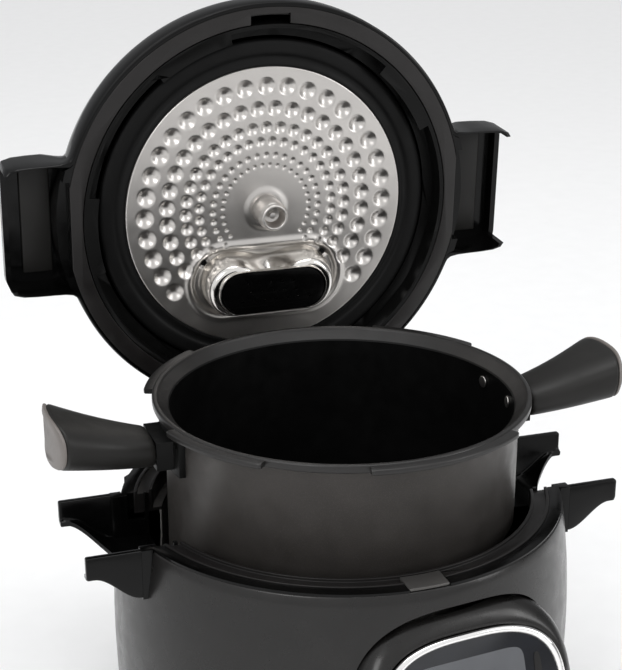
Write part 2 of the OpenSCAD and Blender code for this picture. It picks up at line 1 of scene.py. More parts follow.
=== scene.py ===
"""Looks of the electric pressure cooker: pieces, materials, floor, light and camera round the CAD frame."""

import json
import math

import bmesh
import bpy
from mathutils import Matrix, Vector


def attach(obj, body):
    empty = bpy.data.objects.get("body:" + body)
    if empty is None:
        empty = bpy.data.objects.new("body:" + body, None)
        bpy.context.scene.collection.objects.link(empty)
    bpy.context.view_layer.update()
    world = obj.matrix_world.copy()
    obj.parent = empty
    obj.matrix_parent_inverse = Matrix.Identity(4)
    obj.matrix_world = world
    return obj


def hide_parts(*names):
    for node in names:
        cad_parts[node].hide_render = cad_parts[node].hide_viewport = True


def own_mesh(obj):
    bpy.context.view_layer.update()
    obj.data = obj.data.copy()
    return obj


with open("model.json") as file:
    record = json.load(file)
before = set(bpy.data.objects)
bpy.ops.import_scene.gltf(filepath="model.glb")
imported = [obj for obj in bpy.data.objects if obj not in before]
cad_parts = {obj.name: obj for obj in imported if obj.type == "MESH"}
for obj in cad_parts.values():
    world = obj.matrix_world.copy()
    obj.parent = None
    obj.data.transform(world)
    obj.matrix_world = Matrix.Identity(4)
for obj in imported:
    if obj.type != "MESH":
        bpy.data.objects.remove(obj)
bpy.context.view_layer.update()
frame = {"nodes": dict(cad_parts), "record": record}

MM = 0.001
BODIES = frame["record"]["behaviour"]["bodies"]
BODY_OF = {node: body for body, nodes in BODIES.items() for node in nodes}
SLOT_OF = {s["node"]: s["material_slot"] for s in frame["record"]["subparts"]}

# Driving sizes, in millimetres, as in the CAD model
COLLAR_Z = 205
EDGE_Z = COLLAR_Z + 0.5
DISC_Z = EDGE_Z + 11
LID_R = 148
LID_H = 74
LID_OPEN = 87
HINGE = Vector((0, 154, 200))
POT_LIFT = 63.5
RIM_Z = COLLAR_Z + 8
COVER_Y = 53
POD_PLACE = (9, -166, 122)
POD_TURN = 7
POD_TILT = 18
BEZEL_A = 64
BEZEL_B = 52
EAR_X = 181
EAR_ROOT = 146.2
EAR_OUT = 45
EAR_IN = 40
EAR_LOW = 171
CUT_GAP = 0.2
POT_R = 114.5
POT_WALL = 3
POT_Z = RIM_Z - 150
LUG_R = 128.5
LUGS = ((25, 60), (125.5, 160.5), (193.5, 228.5), (258, 308))
SHELL_R = 152.5
SHELL_LOW = 11


# ---- placing ----

LID_POSE = (Matrix.Translation(HINGE) @ Matrix.Rotation(math.radians(-LID_OPEN), 4, "X")
            @ Matrix.Translation(-HINGE))
POT_POSE = Matrix.Translation((0, 0, POT_LIFT))
POD_POSE = (Matrix.Rotation(math.radians(POD_TURN), 4, "Z") @ Matrix.Translation(POD_PLACE)
            @ Matrix.Rotation(math.radians(90 - POD_TILT), 4, "X"))
PLAIN = Matrix.Identity(4)
MIRROR_X = Matrix.Scale(-1, 4, (1, 0, 0))


def smoothstep(t):
    t = min(1.0, max(0.0, t))
    return t * t * (3 - 2 * t)


def lerp(a, b, t):
    return a + (b - a) * t


# ---- materials ----

def material(name, colour, rough=0.4, metal=0.0, vary=0.12, grain=900, grain_bump=0.02, fleck=0.0,
             coat=0.0, stretch=(1, 1, 1), rough_vary=0.08, specular=0.5):
    """A shader with clouded colour, uneven gloss, a fine surface grain and, for lacquers, metallic flecks."""
    mat = bpy.data.materials.new(name)
    mat.use_nodes = True
    tree = mat.node_tree
    shader = tree.nodes["Principled BSDF"]
    shader.inputs["Metallic"].default_value = metal
    shader.inputs["Specular IOR Level"].default_value = specular
    if coat:
        shader.inputs["Coat Weight"].default_value = coat
        shader.inputs["Coat Roughness"].default_value = 0.12

    def node(kind, **values):
        made = tree.nodes.new(kind)
        for key, value in values.items():
            made.inputs[key].default_value = value
        return made

    place = tree.nodes.new("ShaderNodeTexCoord")
    mapping = node("ShaderNodeMapping", Scale=stretch)
    tree.links.new(place.outputs["Object"], mapping.inputs["Vector"])

    clouds = node("ShaderNodeTexNoise", Scale=38.0, Detail=4.0)
    tree.links.new(mapping.outputs["Vector"], clouds.inputs["Vector"])
    ramp = tree.nodes.new("ShaderNodeValToRGB")
    ramp.color_ramp.elements[0].position = 0.3
    ramp.color_ramp.elements[1].position = 0.72
    ramp.color_ramp.elements[0].color = [c * (1 - vary) for c in colour] + [1]
    ramp.color_ramp.elements[1].color = [min(1, c * (1 + vary)) for c in colour] + [1]
    tree.links.new(clouds.outputs["Fac"], ramp.inputs["Fac"])
    colour_out = ramp.outputs["Color"]

    if fleck:
        sparks = node("ShaderNodeTexVoronoi", Scale=1900.0)
        tree.links.new(place.outputs["Object"], sparks.inputs["Vector"])
        pick = node("ShaderNodeMapRange", **{"From Min": 0.0, "From Max": 0.34, "To Min": 1.0, "To Max": 0.0})
        tree.links.new(sparks.outputs["Distance"], pick.inputs["Value"])
        strength = node("ShaderNodeMath")
        strength.operation = "MULTIPLY"
        strength.inputs[1].default_value = fleck
        tree.links.new(pick.outputs["Result"], strength.inputs[0])
        mix = tree.nodes.new("ShaderNodeMix")
        mix.data_type = "RGBA"
        mix.inputs["B"].default_value = [min(1, c * 3.2 + 0.03) for c in colour] + [1]
        tree.links.new(strength.outputs["Value"], mix.inputs["Factor"])
        tree.links.new(colour_out, mix.inputs["A"])
        colour_out = mix.outputs["Result"]
    tree.links.new(colour_out, shader.inputs["Base Color"])

    uneven = node("ShaderNodeTexNoise", Scale=85.0, Detail=5.0)
    tree.links.new(mapping.outputs["Vector"], uneven.inputs["Vector"])
    spread = node("ShaderNodeMapRange", **{"From Min": 0.25, "From Max": 0.75, "To Max": rough + rough_vary,
                                           "To Min": max(0.02, rough - rough_vary)})
    tree.links.new(uneven.outputs["Fac"], spread.inputs["Value"])
    tree.links.new(spread.outputs["Result"], shader.inputs["Roughness"])

    fine = node("ShaderNodeTexNoise", Scale=float(grain), Detail=3.0)
    tree.links.new(mapping.outputs["Vector"], fine.inputs["Vector"])
    bump = node("ShaderNodeBump", Strength=grain_bump, Distance=0.0004)
    tree.links.new(fine.outputs["Fac"], bump.inputs["Height"])
    tree.links.new(bump.outputs["Normal"], shader.inputs["Normal"])
    return mat


MATERIALS = {
    "shell_grey": material("shell_lacquer", (0.010, 0.0094, 0.009), 0.30, 0.45, fleck=0.22, coat=0.12),
    "gloss_black": material("gloss_black_plastic", (0.0014, 0.0014, 0.0014), 0.17, grain=1500,
                            grain_bump=0.012, vary=0.2, specular=0.17),
    "satin_black": material("satin_black_plastic", (0.0022, 0.0022, 0.0021), 0.46, grain=2200,
                            grain_bump=0.08, specular=0.14),
    "rail_grey": material("satin_grey_lacquer", (0.013, 0.0118, 0.0115), 0.36, 0.45, grain=1800, fleck=0.12),
    "chrome": material("polished_chrome", (0.86, 0.85, 0.84), 0.08, 1.0, vary=0.03, rough_vary=0.03,
                       grain_bump=0.004),
    "glass_black": material("panel_glass_black", (0.005, 0.006, 0.009), 0.08, coat=0.4, vary=0.3,
                            rough_vary=0.03, grain_bump=0.002),
    "screen": material("unlit_screen", (0.085, 0.088, 0.095), 0.22, vary=0.08, grain=3200, grain_bump=0.01),
    "circuit": material("circuit_lacquer", (0.02, 0.12, 0.05), 0.4, vary=0.4),
    "steel": material("satin_steel", (0.52, 0.50, 0.48), 0.34, 1.0, vary=0.04, grain=900, grain_bump=0.012,
                      rough_vary=0.04),
    "aluminium_cast": material("cast_aluminium", (0.50, 0.49, 0.47), 0.42, 1.0, grain=600, grain_bump=0.06),
    "pot_coat": material("fleck_coating", (0.043, 0.039, 0.036), 0.40, 0.40, vary=0.14, fleck=0.55,
                         grain=1500, grain_bump=0.05),
    "grip_grey": material("grip_thermoset", (0.0105, 0.0100, 0.0092), 0.44, specular=0.25, grain=2000,
                          grain_bump=0.10, vary=0.10),
    "cap_grey": material("warm_grey_cap", (0.135, 0.121, 0.112), 0.46, grain=1800, grain_bump=0.05,
                         vary=0.05),
    "silicone": material("black_silicone", (0.0026, 0.0026, 0.0026), 0.5, specular=0.15, grain=1200,
                         grain_bump=0.05),
    "brass_pin": material("brass_contact", (0.72, 0.58, 0.34), 0.25, 1.0),
    "red_pin": material("red_plastic", (0.45, 0.03, 0.02), 0.3),
    "foot_rubber": material("foot_rubber_black", (0.016, 0.016, 0.016), 0.7, grain=900, grain_bump=0.15),
}
NON_STICK = material("non_stick_black", (0.0018, 0.0018, 0.0018), 0.42, specular=0.14, grain=1400,
                     grain_bump=0.05, vary=0.2)
RIM_GREY = material("rim_coating", (0.014, 0.0132, 0.0128), 0.36, 0.3, fleck=0.2)
TAB_GREY = material("tab_lacquer", (0.075, 0.072, 0.069), 0.38, 0.5, grain=1800, fleck=0.1)
POLISHED = material("polished_steel", (0.72, 0.70, 0.67), 0.16, 1.0, vary=0.05, grain=500, grain_bump=0.02,
                    rough_vary=0.05)


# ---- making meshes ----

def finish_piece(name, mesh, body, slot, replaced=(), mats=None, auto=38):
    """Puts a mesh in the scene as a piece that rides on a body and stands for CAD nodes."""
    piece = bpy.data.objects.new(name, mesh)
    bpy.context.scene.collection.objects.link(piece)
    mesh.materials.clear()
    for mat in mats or [MATERIALS[slot]]:
        mesh.materials.append(mat)
    mesh.shade_smooth()
    mesh.set_sharp_from_angle(angle=math.radians(auto))
    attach(piece, body)
    if replaced:
        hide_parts(*replaced)
    return piece


def mesh_from(name, points, faces, pose=PLAIN):
    """Mesh from points in millimetres, placed by a pose and turned into metres."""
    mesh = bpy.data.meshes.new(name)
    mesh.from_pydata([tuple((pose @ Vector(p)) * MM) for p in points], [], faces)
    made = bmesh.new()
    made.from_mesh(mesh)
    bmesh.ops.remove_doubles(made, verts=made.verts, dist=1e-6)
    bmesh.ops.dissolve_degenerate(made, edges=made.edges, dist=1e-7)
    loose = [edge for edge in made.edges if not edge.link_faces]
    bmesh.ops.delete(made, geom=loose, context="EDGES")
    bmesh.ops.recalc_face_normals(made, faces=made.faces)
    made.to_mesh(mesh)
    made.free()
    return mesh


def skin(rings, caps=True):
    """Points and faces of a surface through rings that all have the same number of points."""
    count = len(rings[0])
    points = [p for ring in rings for p in ring]
    faces = []
    for i in range(len(rings) - 1):
        for j in range(count):
            k = (j + 1) % count
            faces.append((i * count + j, i * count + k, (i + 1) * count + k, (i + 1) * count + j))
    if caps:
        faces.append(tuple(reversed(range(count))))
        faces.append(tuple(range((len(rings) - 1) * count, len(rings) * count)))
    return points, faces


def torus_skin(rings):
    """Points and faces of a surface whose last ring joins its first."""
    count = len(rings[0])
    points = [p for ring in rings for p in ring]
    faces = []
    for i in range(len(rings)):
        n = (i + 1) % len(rings)
        for j in range(count):
            k = (j + 1) % count
            faces.append((i * count + j, i * count + k, n * count + k, n * count + j))
    return points, faces


def lathe(profile, steps=192):
    """Rings of a closed (radius, height) profile turned round the Z axis."""
    angles = [2 * math.pi * i / steps for i in range(steps)]
    return torus_skin([[(r * math.cos(a), r * math.sin(a), z) for r, z in profile] for a in angles])


def superellipse(a, b, n=3.0, steps=96):
    points = []
    for i in range(steps):
        t = 2 * math.pi * i / steps
        c, s = math.cos(t), math.sin(t)
        points.append((a * math.copysign(abs(c) ** (2 / n), c), b * math.copysign(abs(s) ** (2 / n), s)))
    return points


def obround(w, d, steps=96):
    """Outline with round ends, evenly spaced, starting at +X."""
    r, half = d / 2, (w - d) / 2
    length = 4 * half + 2 * math.pi * r
    points = []
    for i in range(steps):
        s = length * i / steps
        if s < math.pi * r / 2:
            a = s / r
            points.append((half + r * math.cos(a), r * math.sin(a)))
        elif s < math.pi * r / 2 + 2 * half:
            points.append((half - (s - math.pi * r / 2), r))
        elif s < 3 * math.pi * r / 2 + 2 * half:
            a = (s - 2 * half) / r
            points.append((-half + r * math.cos(a), r * math.sin(a)))
        elif s < 3 * math.pi * r / 2 + 4 * half:
            points.append((-half + (s - 3 * math.pi * r / 2 - 2 * half), -r))
        else:
            a = (s - 4 * half) / r
            points.append((half + r * math.cos(a), r * math.sin(a)))
    return points


def evaluated(piece):
    """The piece's mesh with its modifiers applied."""
    bpy.context.view_layer.update()
    graph = bpy.context.evaluated_depsgraph_get()
    mesh = bpy.data.meshes.new_from_object(piece.evaluated_get(graph))
    return mesh


def with_modifiers(mesh, *settings):
    """Applies modifiers, given as (type, values), to a mesh and returns the result."""
    carrier = bpy.data.objects.new("carrier", mesh)
    bpy.context.scene.collection.objects.link(carrier)
    for kind, values in settings:
        modifier = carrier.modifiers.new(kind, kind)
        for key, value in values.items():
            setattr(modifier, key, value)
    result = evaluated(carrier)
    bpy.data.objects.remove(carrier)
    return result


def carve(mesh, cutters):
    """Cuts closed meshes out of a mesh."""
    tools = []
    for cutter in cutters:
        tool = bpy.data.objects.new("cutter", cutter)
        bpy.context.scene.collection.objects.link(tool)
        tools.append(tool)
    settings = [("BOOLEAN", {"operation": "DIFFERENCE", "solver": "EXACT", "object": tool}) for tool in tools]
    result = with_modifiers(mesh, *settings)
    for tool in tools:
        bpy.data.objects.remove(tool)
    return result


def block_mesh(x, y, z, pose=PLAIN):
    points = [(a, b, c) for c in sorted(z) for b in sorted(y) for a in sorted(x)]
    faces = [(0, 2, 3, 1), (4, 5, 7, 6), (0, 1, 5, 4), (2, 6, 7, 3), (0, 4, 6, 2), (1, 3, 7, 5)]
    return mesh_from("block", points, faces, pose)


def rounded(node, width=0.6, segments=3, mats=None, auto=32, cut=()):
    """A copy of a CAD node with its edges rounded over, standing for the node."""
    mesh = frame["nodes"][node].data.copy()
    made = bmesh.new()
    made.from_mesh(mesh)
    bmesh.ops.remove_doubles(made, verts=made.verts, dist=2e-6)
    bmesh.ops.dissolve_limit(made, angle_limit=math.radians(0.6), verts=made.verts, edges=made.edges)
    made.to_mesh(mesh)
    made.free()
    if cut:
        mesh = carve(mesh, cut)
    mesh = with_modifiers(mesh, ("BEVEL", {"width": width * MM, "segments": segments, "limit_method": "ANGLE",
                                           "angle_limit": math.radians(40), "use_clamp_overlap": True,
                                           "harden_normals": False}))
    return finish_piece(node + "_skin", mesh, BODY_OF[node], SLOT_OF[node], [node], mats, auto)


# ---- ears of the base ----

def ear_trays():
    """Trays under the pot's handles: two walls, and a floor that is cut back in a hollow curve."""
    stations = [(EAR_ROOT, 0)] + [(lerp(EAR_ROOT, EAR_X - 1.4, i / 14), 0) for i in range(1, 15)]
    stations += [(EAR_X - 0.7, 0.12), (EAR_X - 0.2, 0.4), (EAR_X, 0.9)]
    rings = []
    for x, inset in stations:
        low = EAR_LOW + 17 * smoothstep((x - EAR_ROOT - 1) / 29) + inset
        high = COLLAR_Z - 0.7 - inset
        out, gap = EAR_OUT - inset, EAR_IN + inset
        half = [(out - 3.5, low), (out - 1.0, low + 1.0), (out, low + 3.5), (out, high - 0.9),
                (out - 0.3, high - 0.3), (out - 0.9, high), (gap + 0.9, high),
                (gap + 0.3, high - 0.3), (gap, high - 0.9),
                (gap, low + 6.0 - 2 * inset), (gap - 0.9, low + 4.0 - inset), (gap - 3.0, low + 3.0 - inset)]
        rings.append([(x, y, z) for y, z in half] + [(x, -y, z) for y, z in reversed(half)])
    hollow = []
    for i in range(25):
        y = lerp(-37.4, 37.4, i / 24)
        hollow.append((150 + 30 * (abs(y) / 40.6) ** 2.4, y))
    hollow += [(200, 37.4), (200, -37.4)]
    for name, side in (("right", PLAIN), ("left", MIRROR_X)):
        tray = mesh_from("tray", *skin(rings), side)
        cutter = mesh_from("hollow", *skin([[(x, y, z) for x, y in hollow] for z in (160, 215)]), side)
        finish_piece("ear_tray_" + name, carve(tray, [cutter]), "base", "gloss_black", auto=40)
    ends = [block_mesh((sign * 146.4, sign * 210), (-60, 60), (150, 230)) for sign in (-1, 1)]
    rounded("top_collar", 1.0, cut=ends)


# ---- lid ----

def dome_radius(z):
    """Radius of the dome at a height above the lid's edge."""
    if z <= 14:
        return LID_R
    s = min(1.0, ((z - 14) / (LID_H - 14))) ** (1 / 0.9)
    return LID_R * math.sqrt(max(0.0, 1 - s * s)) ** 0.62


def ear_radius(angle):
    """Outline of the lid in plan: a circle with an ear at each side."""
    c, s = abs(math.cos(angle)), abs(math.sin(angle))
    end = (EAR_X + 4.5) / max(c, 1e-6)
    side = 46.5 / max(s, 1e-6)
    ear = (end ** -24 + side ** -24) ** (-1 / 24)
    soft = 4.5
    return LID_R + soft * math.log1p(math.exp(min(60.0, (ear - LID_R) / soft)))


def lid_shell():
    ear_top = 33
    steps = 360
    rings = []
    dome_heights = [LID_H - 0.02 - (LID_H - 36) * (i / 22) ** 2 for i in range(23)]
    for i in range(steps):
        angle = 2 * math.pi * (i + 0.5) / steps
        outer = ear_radius(angle)
        ear = smoothstep((outer - LID_R - 3) / 12)
        side = [(23, LID_H), (24, LID_H)]
        side += [(dome_radius(z), z) for z in dome_heights]
        shelf_start = dome_radius(36)
        for k in range(1, 8):
            u = k / 7
            plate = (lerp(shelf_start, outer - 5, u), ear_top + 2.2 - 2.2 * smoothstep(u))
            height = 36 - 13 * u
            side.append(tuple(lerp(a, b, ear) for a, b in zip((dome_radius(height), height), plate)))
        for k in range(1, 5):
            bend = math.radians(90 * k / 4)
            corner = (outer - 5 + 5 * math.sin(bend), ear_top - 5 + 5 * math.cos(bend))
            height = 22 - 1.6 * k
            side.append(tuple(lerp(a, b, ear) for a, b in zip((dome_radius(height), height), corner)))
        side += [(lerp(LID_R, outer, ear), 13), (outer, 1.6), (outer - 0.5, 0.5), (outer - 1.6, 0)]
        pocket_out = lerp(146.3, outer - 3.4, ear)
        pocket_in = lerp(146.0, 150.5, ear)
        pocket_top = 30 * ear
        side += [(pocket_out, 0), (pocket_out, pocket_top * 0.5), (pocket_out - 1.2 * ear, pocket_top),
                 (pocket_in + 1.2 * ear, pocket_top), (pocket_in, pocket_top * 0.5), (pocket_in, 0),
                 (145.2, 0), (145.2, 3.1), (140.8, 3.1), (140.8, 15)]
        side += [(max(23.0, dome_radius(z + 2) - 3), z) for z in (20, 30, 40, 50, 60, 66)]
        side += [(60, LID_H - 3.6), (23, LID_H - 3)]
        rings.append([(r * math.cos(angle), r * math.sin(angle), EDGE_Z + z) for r, z in side])
    mesh = mesh_from("lid_shell", *torus_skin(rings), LID_POSE)
    # knuckle and arm at the hinge, from the CAD proportions
    cutters = []
    for sign in (1, -1):
        cutters.append(block_mesh((sign * 176, sign * 200), (-41, 41), (EDGE_Z - 2, EDGE_Z + 21), LID_POSE))
        cutters.append(block_mesh((sign * 142, sign * 152), (-34, 34), (EDGE_Z - 2, EDGE_Z + 8), LID_POSE))
    mesh = carve(mesh, cutters)
    finish_piece("lid_shell_skin", mesh, "lid", "gloss_black", ["lid_shell"], auto=40)

    outline = [(141, 206), (146.5, 200.5)]
    outline += [(HINGE.y + 7 * math.cos(a), HINGE.z + 7 * math.sin(a))
                for a in [math.radians(d) for d in range(180, 361, 15)]]
    outline += [(160.5, 206), (153, 217), (146.5, 221), (141, 221)]
    rings = [[(x, y, z) for y, z in outline] for x in (-22, -21.2, 21.2, 22)]
    knuckle = mesh_from("lid_knuckle", *skin(rings), LID_POSE)
    knuckle = with_modifiers(knuckle, ("BEVEL", {"width": 0.6 * MM, "segments": 3}))
    finish_piece("lid_knuckle", knuckle, "lid", "gloss_black")


def sub_lid():
    """Pressed steel disc: rings of bumps, a raised hub and a sunken bed for the valve cover."""
    radius = 101.5
    circles = [(0.87, 6.6), (0.715, 5.8), (0.58, 4.6), (0.483, 3.5), (0.385, 2.3), (0.315, 1.6)]
    step = math.radians(10)

    def height(x, y):
        r = math.hypot(x, y)
        angle = math.atan2(y, x)
        rise = 0.0
        for k, (share, size) in enumerate(circles):
            ring_r = share * radius
            if abs(r - ring_r) > size:
                continue
            phase = step / 2 if k % 2 else 0.0
            nearest = round((angle - phase) / step) * step + phase
            off = abs(math.atan2(math.sin(nearest - math.pi / 2), math.cos(nearest - math.pi / 2)))
            if off < math.radians(47):
                continue
            d = math.hypot(x - ring_r * math.cos(nearest), y - ring_r * math.sin(nearest))
            if d < size:
                rise -= 0.46 * size * (1 - (d / size) ** 2) ** 1.3
        # bed of the valve cover, with a raised lip
        half = (112 - 52) / 2
        dx = max(0.0, abs(x) - half)
        bed = math.hypot(dx, y - COVER_Y) - 26
        rise += 1.3 * math.exp(-((bed - 1.5) / 2.2) ** 2)
        rise -= 3.4 * smoothstep((-bed - 0.5) / 3.5)
        # hub boss, and a slight dome of the whole disc
        rise += 1.1 * smoothstep((17 - r) / 5)
        rise += 0.8 * (1 - (r / radius) ** 2)
        return rise

    rows, columns = 150, 540
    rings = []
    for i in range(rows + 1):
        r = lerp(2.6, radius, i / rows)
        ring = []
        for j in range(columns):
            a = 2 * math.pi * j / columns
            x, y = r * math.cos(a), r * math.sin(a)
            ring.append((x, y, DISC_Z - 1.0 - height(x, y)))
        rings.append(ring)

    def circle(r, z):
        return [(r * math.cos(2 * math.pi * j / columns), r * math.sin(2 * math.pi * j / columns), z)
                for j in range(columns)]

    rings += [circle(radius + 0.3, DISC_Z - 0.6), circle(radius + 0.3, DISC_Z + 2.6),
              circle(radius - 1, DISC_Z + 2.8)]
    points, faces = skin(rings, caps=False)
    mesh = mesh_from("sub_lid", points, faces, LID_POSE)
    mesh = with_modifiers(mesh, ("SOLIDIFY", {"thickness": 0.5 * MM, "offset": 0.0}))
    finish_piece("sub_lid_skin", mesh, "inner_lid", "steel", ["sub_lid"], auto=60)


def scallop(x, y, amount):
    """Finger grips pressed into the cover's side that faces the hub."""
    if y >= 0:
        return y
    return y + amount * math.exp(-(x / 14) ** 2)


def valve_cover():
    def ring(w, d, z, amount, shift=0.0):
        return [(x, COVER_Y + shift + scallop(x, y, amount), DISC_Z - z) for x, y in obround(w, d, 144)]

    rings = [ring(99, 45, -1.5, 3.0), ring(98, 44, 3, 4.0), ring(96, 42, 9, 8.0, 0.3),
             ring(94.6, 40.6, 14, 10.5, 0.6), ring(93, 39, 17.4, 11.5, 1),
             ring(91, 37, 19.2, 11.6, 1.2), ring(88, 34.5, 20.4, 11.0, 1.5),
             ring(85, 33, 20.6, 9.0, 2), ring(81, 32.5, 20.3, 4.5, 2), ring(80.4, 32.4, 22.0, 0.4, 2),
             ring(79.6, 31.8, 22.6, 0, 2), ring(78.2, 31.0, 22.6, 0, 2), ring(77.6, 30.6, 21.6, 0, 2),
             ring(77.4, 30.4, 18, 0, 2)]
    points, faces = skin(rings, caps=False)
    mesh = mesh_from("valve_cover", points, faces, LID_POSE)
    mesh = with_modifiers(mesh, ("SOLIDIFY", {"thickness": 0.7 * MM, "offset": -1.0}))
    finish_piece("valve_cover_skin", mesh, "valve_guard", "steel", ["valve_cover"], mats=[POLISHED], auto=45)
    rounded("valve_cap", 0.5)


def nut():
    """Hollow-tipped nut in the middle of the disc."""
    top = DISC_Z - 1.3
    low = top - 23
    profile = [(2.5, top), (10.0, top), (10.5, top - 0.6), (10.5, low + 3.4), (10.1, low + 3.0),
               (9.7, low + 2.2), (9.4, low + 0.9), (8.9, low + 0.25), (8.3, low), (7.7, low + 0.2),
               (7.4, low + 0.8), (6.9, low + 6),
               (5.6, low + 9), (2.5, low + 9.6)]
    mesh = mesh_from("nut", *lathe(profile, 96), LID_POSE)
    finish_piece("sub_lid_nut_skin", mesh, "inner_lid_nut", "steel", ["sub_lid_nut"], auto=50)


def seal():
    """Silicone ring with a soft lip and ribs."""
    profile = [(101.9, DISC_Z + 0.2), (102.5, DISC_Z - 0.3), (104, DISC_Z - 0.5), (105.2, DISC_Z + 0.5),
               (107, DISC_Z + 1.0), (109, DISC_Z + 1.0), (110, DISC_Z + 0.2), (111.2, DISC_Z - 0.4),
               (113, DISC_Z - 0.6), (117, DISC_Z - 0.6), (119.4, DISC_Z - 0.2), (120.7, DISC_Z + 0.9),
               (121, DISC_Z + 2.2), (119, DISC_Z + 2.7), (106, DISC_Z + 2.7), (105.4, DISC_Z + 5.2),
               (103.8, DISC_Z + 5.4)]
    finish_piece("lid_seal_skin", mesh_from("seal", *lathe(profile), LID_POSE), "inner_lid", "silicone",
                 ["lid_seal"], auto=50)


# ---- pot ----

def grip_section(x, inset=0.0):
    reach = max(0.0, x - 126) / 66
    mid = RIM_Z - 23 + 15 * reach ** 1.25
    half_h = 10 + 7 * reach - inset
    half_w = 19 + 12 * reach ** 1.2 - inset
    ring = []
    for y, z in superellipse(half_w, half_h, 3.0, 64):
        # the upper face is flatter and wider than the lower one
        squeeze = 1.0 - 0.16 * max(0.0, -z) / half_h
        # the end bows outwards in plan
        bow = 5 * (y / 31) ** 2 * smoothstep((x - 150) / 42)
        ring.append((x - bow, y * squeeze, mid + z))
    return ring


def grips():
    stations = [(128.2, 2.2), (128.8, 0.9), (130, 0.2), (132, 0)]
    stations += [(132 + 56 * i / 14, 0) for i in range(1, 15)]
    stations += [(189.2, 0.1), (190.2, 0.8), (190.5, 2.0)]
    for name, side in (("right", PLAIN), ("left", MIRROR_X)):
        mesh = mesh_from("grip", *skin([grip_section(x, inset) for x, inset in stations]), POT_POSE @ side)
        finish_piece("grip_" + name + "_skin", mesh, "pot", "grip_grey", ["grip_" + name], auto=50)
        plate = [(190.6, 1.2), (190.8, 0.5), (191.6, 0.3), (192.6, 0.8), (193.1, 2.0), (193.4, 5.0)]
        mesh = mesh_from("grip_cap", *skin([grip_section(x, inset) for x, inset in plate]), POT_POSE @ side)
        finish_piece("grip_cap_" + name + "_skin", mesh, "pot", "cap_grey", ["grip_cap_" + name], auto=50)


def arc(centre, radius, start, end, steps=6):
    """Points on an arc, angles in degrees."""
    angles = [math.radians(lerp(start, end, i / steps)) for i in range(steps + 1)]
    return [(centre[0] + radius * math.cos(a), centre[1] + radius * math.sin(a)) for a in angles]


def pot_face(centre, normal):
    """0 outside, 1 inside, 2 rim."""
    r = math.hypot(centre.x, centre.y)
    top = RIM_Z + POT_LIFT
    if centre.z > top - 8.8 and r > POT_R - POT_WALL + 0.7:
        return 2
    inner_floor = top - (RIM_Z - POT_Z) + POT_WALL
    return 1 if r < POT_R - POT_WALL + 0.8 and centre.z > inner_floor and normal.z > -0.5 else 0


def pot():
    """Bowl with a flared rim and four bayonet lugs."""
    corner = 14
    middle = (POT_R - corner, POT_Z + corner)
    inner = POT_R - POT_WALL
    profile = [(0, POT_Z)] + arc(middle, corner, -90, 0) + [(POT_R, RIM_Z - 8.5)]
    profile += [(POT_R + 0.7, RIM_Z - 7.6), (121.6, RIM_Z - 5.1), (122.3, RIM_Z - 4.6), (122.5, RIM_Z - 3.8)]
    profile += arc((121.3, RIM_Z - 1.2), 1.2, 0, 90, 4)
    profile += arc((120.0, RIM_Z - 1.2), 1.2, 90, 160, 3)
    profile += [(118.0, RIM_Z - 2.0), (inner + 0.8, RIM_Z - 6.4), (inner, RIM_Z - 7.4)]
    profile += arc(middle, corner - POT_WALL, 0, -84) + [(0, POT_Z + POT_WALL + 0.2)]
    mesh = mesh_from("pot", *lathe(profile, 256), POT_POSE)
    piece = finish_piece("pot_body_skin", mesh, "pot", "pot_coat", ["pot_body"],
                         [MATERIALS["pot_coat"], NON_STICK, RIM_GREY])
    for face in piece.data.polygons:
        face.material_index = pot_face(face.center / MM, face.normal)

    low, high = RIM_Z - 4.2, RIM_Z - 0.8
    # how far along a lug each section lies, and how much it is drawn in at the ends
    stations = [(0, 0.7), (0.012, 0.15), (0.03, 0)]
    stations += [(0.03 + 0.94 * i / 14, 0) for i in range(1, 14)]
    stations += [(0.97, 0), (0.988, 0.15), (1, 0.7)]
    for number, (start, end) in enumerate(LUGS):
        rings = []
        for share, inset in stations:
            a = math.radians(lerp(start, end, share))
            edge = LUG_R - inset
            section = [(121.3, low), (edge - 0.7, low), (edge - 0.2, low + 0.2), (edge, low + 0.7),
                       (edge, high - 0.9), (edge - 0.25, high - 0.3), (edge - 0.9, high), (121.3, high)]
            rings.append([(r * math.cos(a), r * math.sin(a), z) for r, z in section])
        mesh = mesh_from("lug", *skin(rings), POT_POSE)
        finish_piece("pot_lug_%d" % (number + 1), mesh, "pot", "pot_coat", mats=[RIM_GREY], auto=50)


# ---- housing ----

def barrel(z):
    """Radius of the housing at a height."""
    if z > 120:
        return SHELL_R - 7 * ((z - 120) / 85) ** 2
    return SHELL_R - 6 * ((120 - z) / 109) ** 2


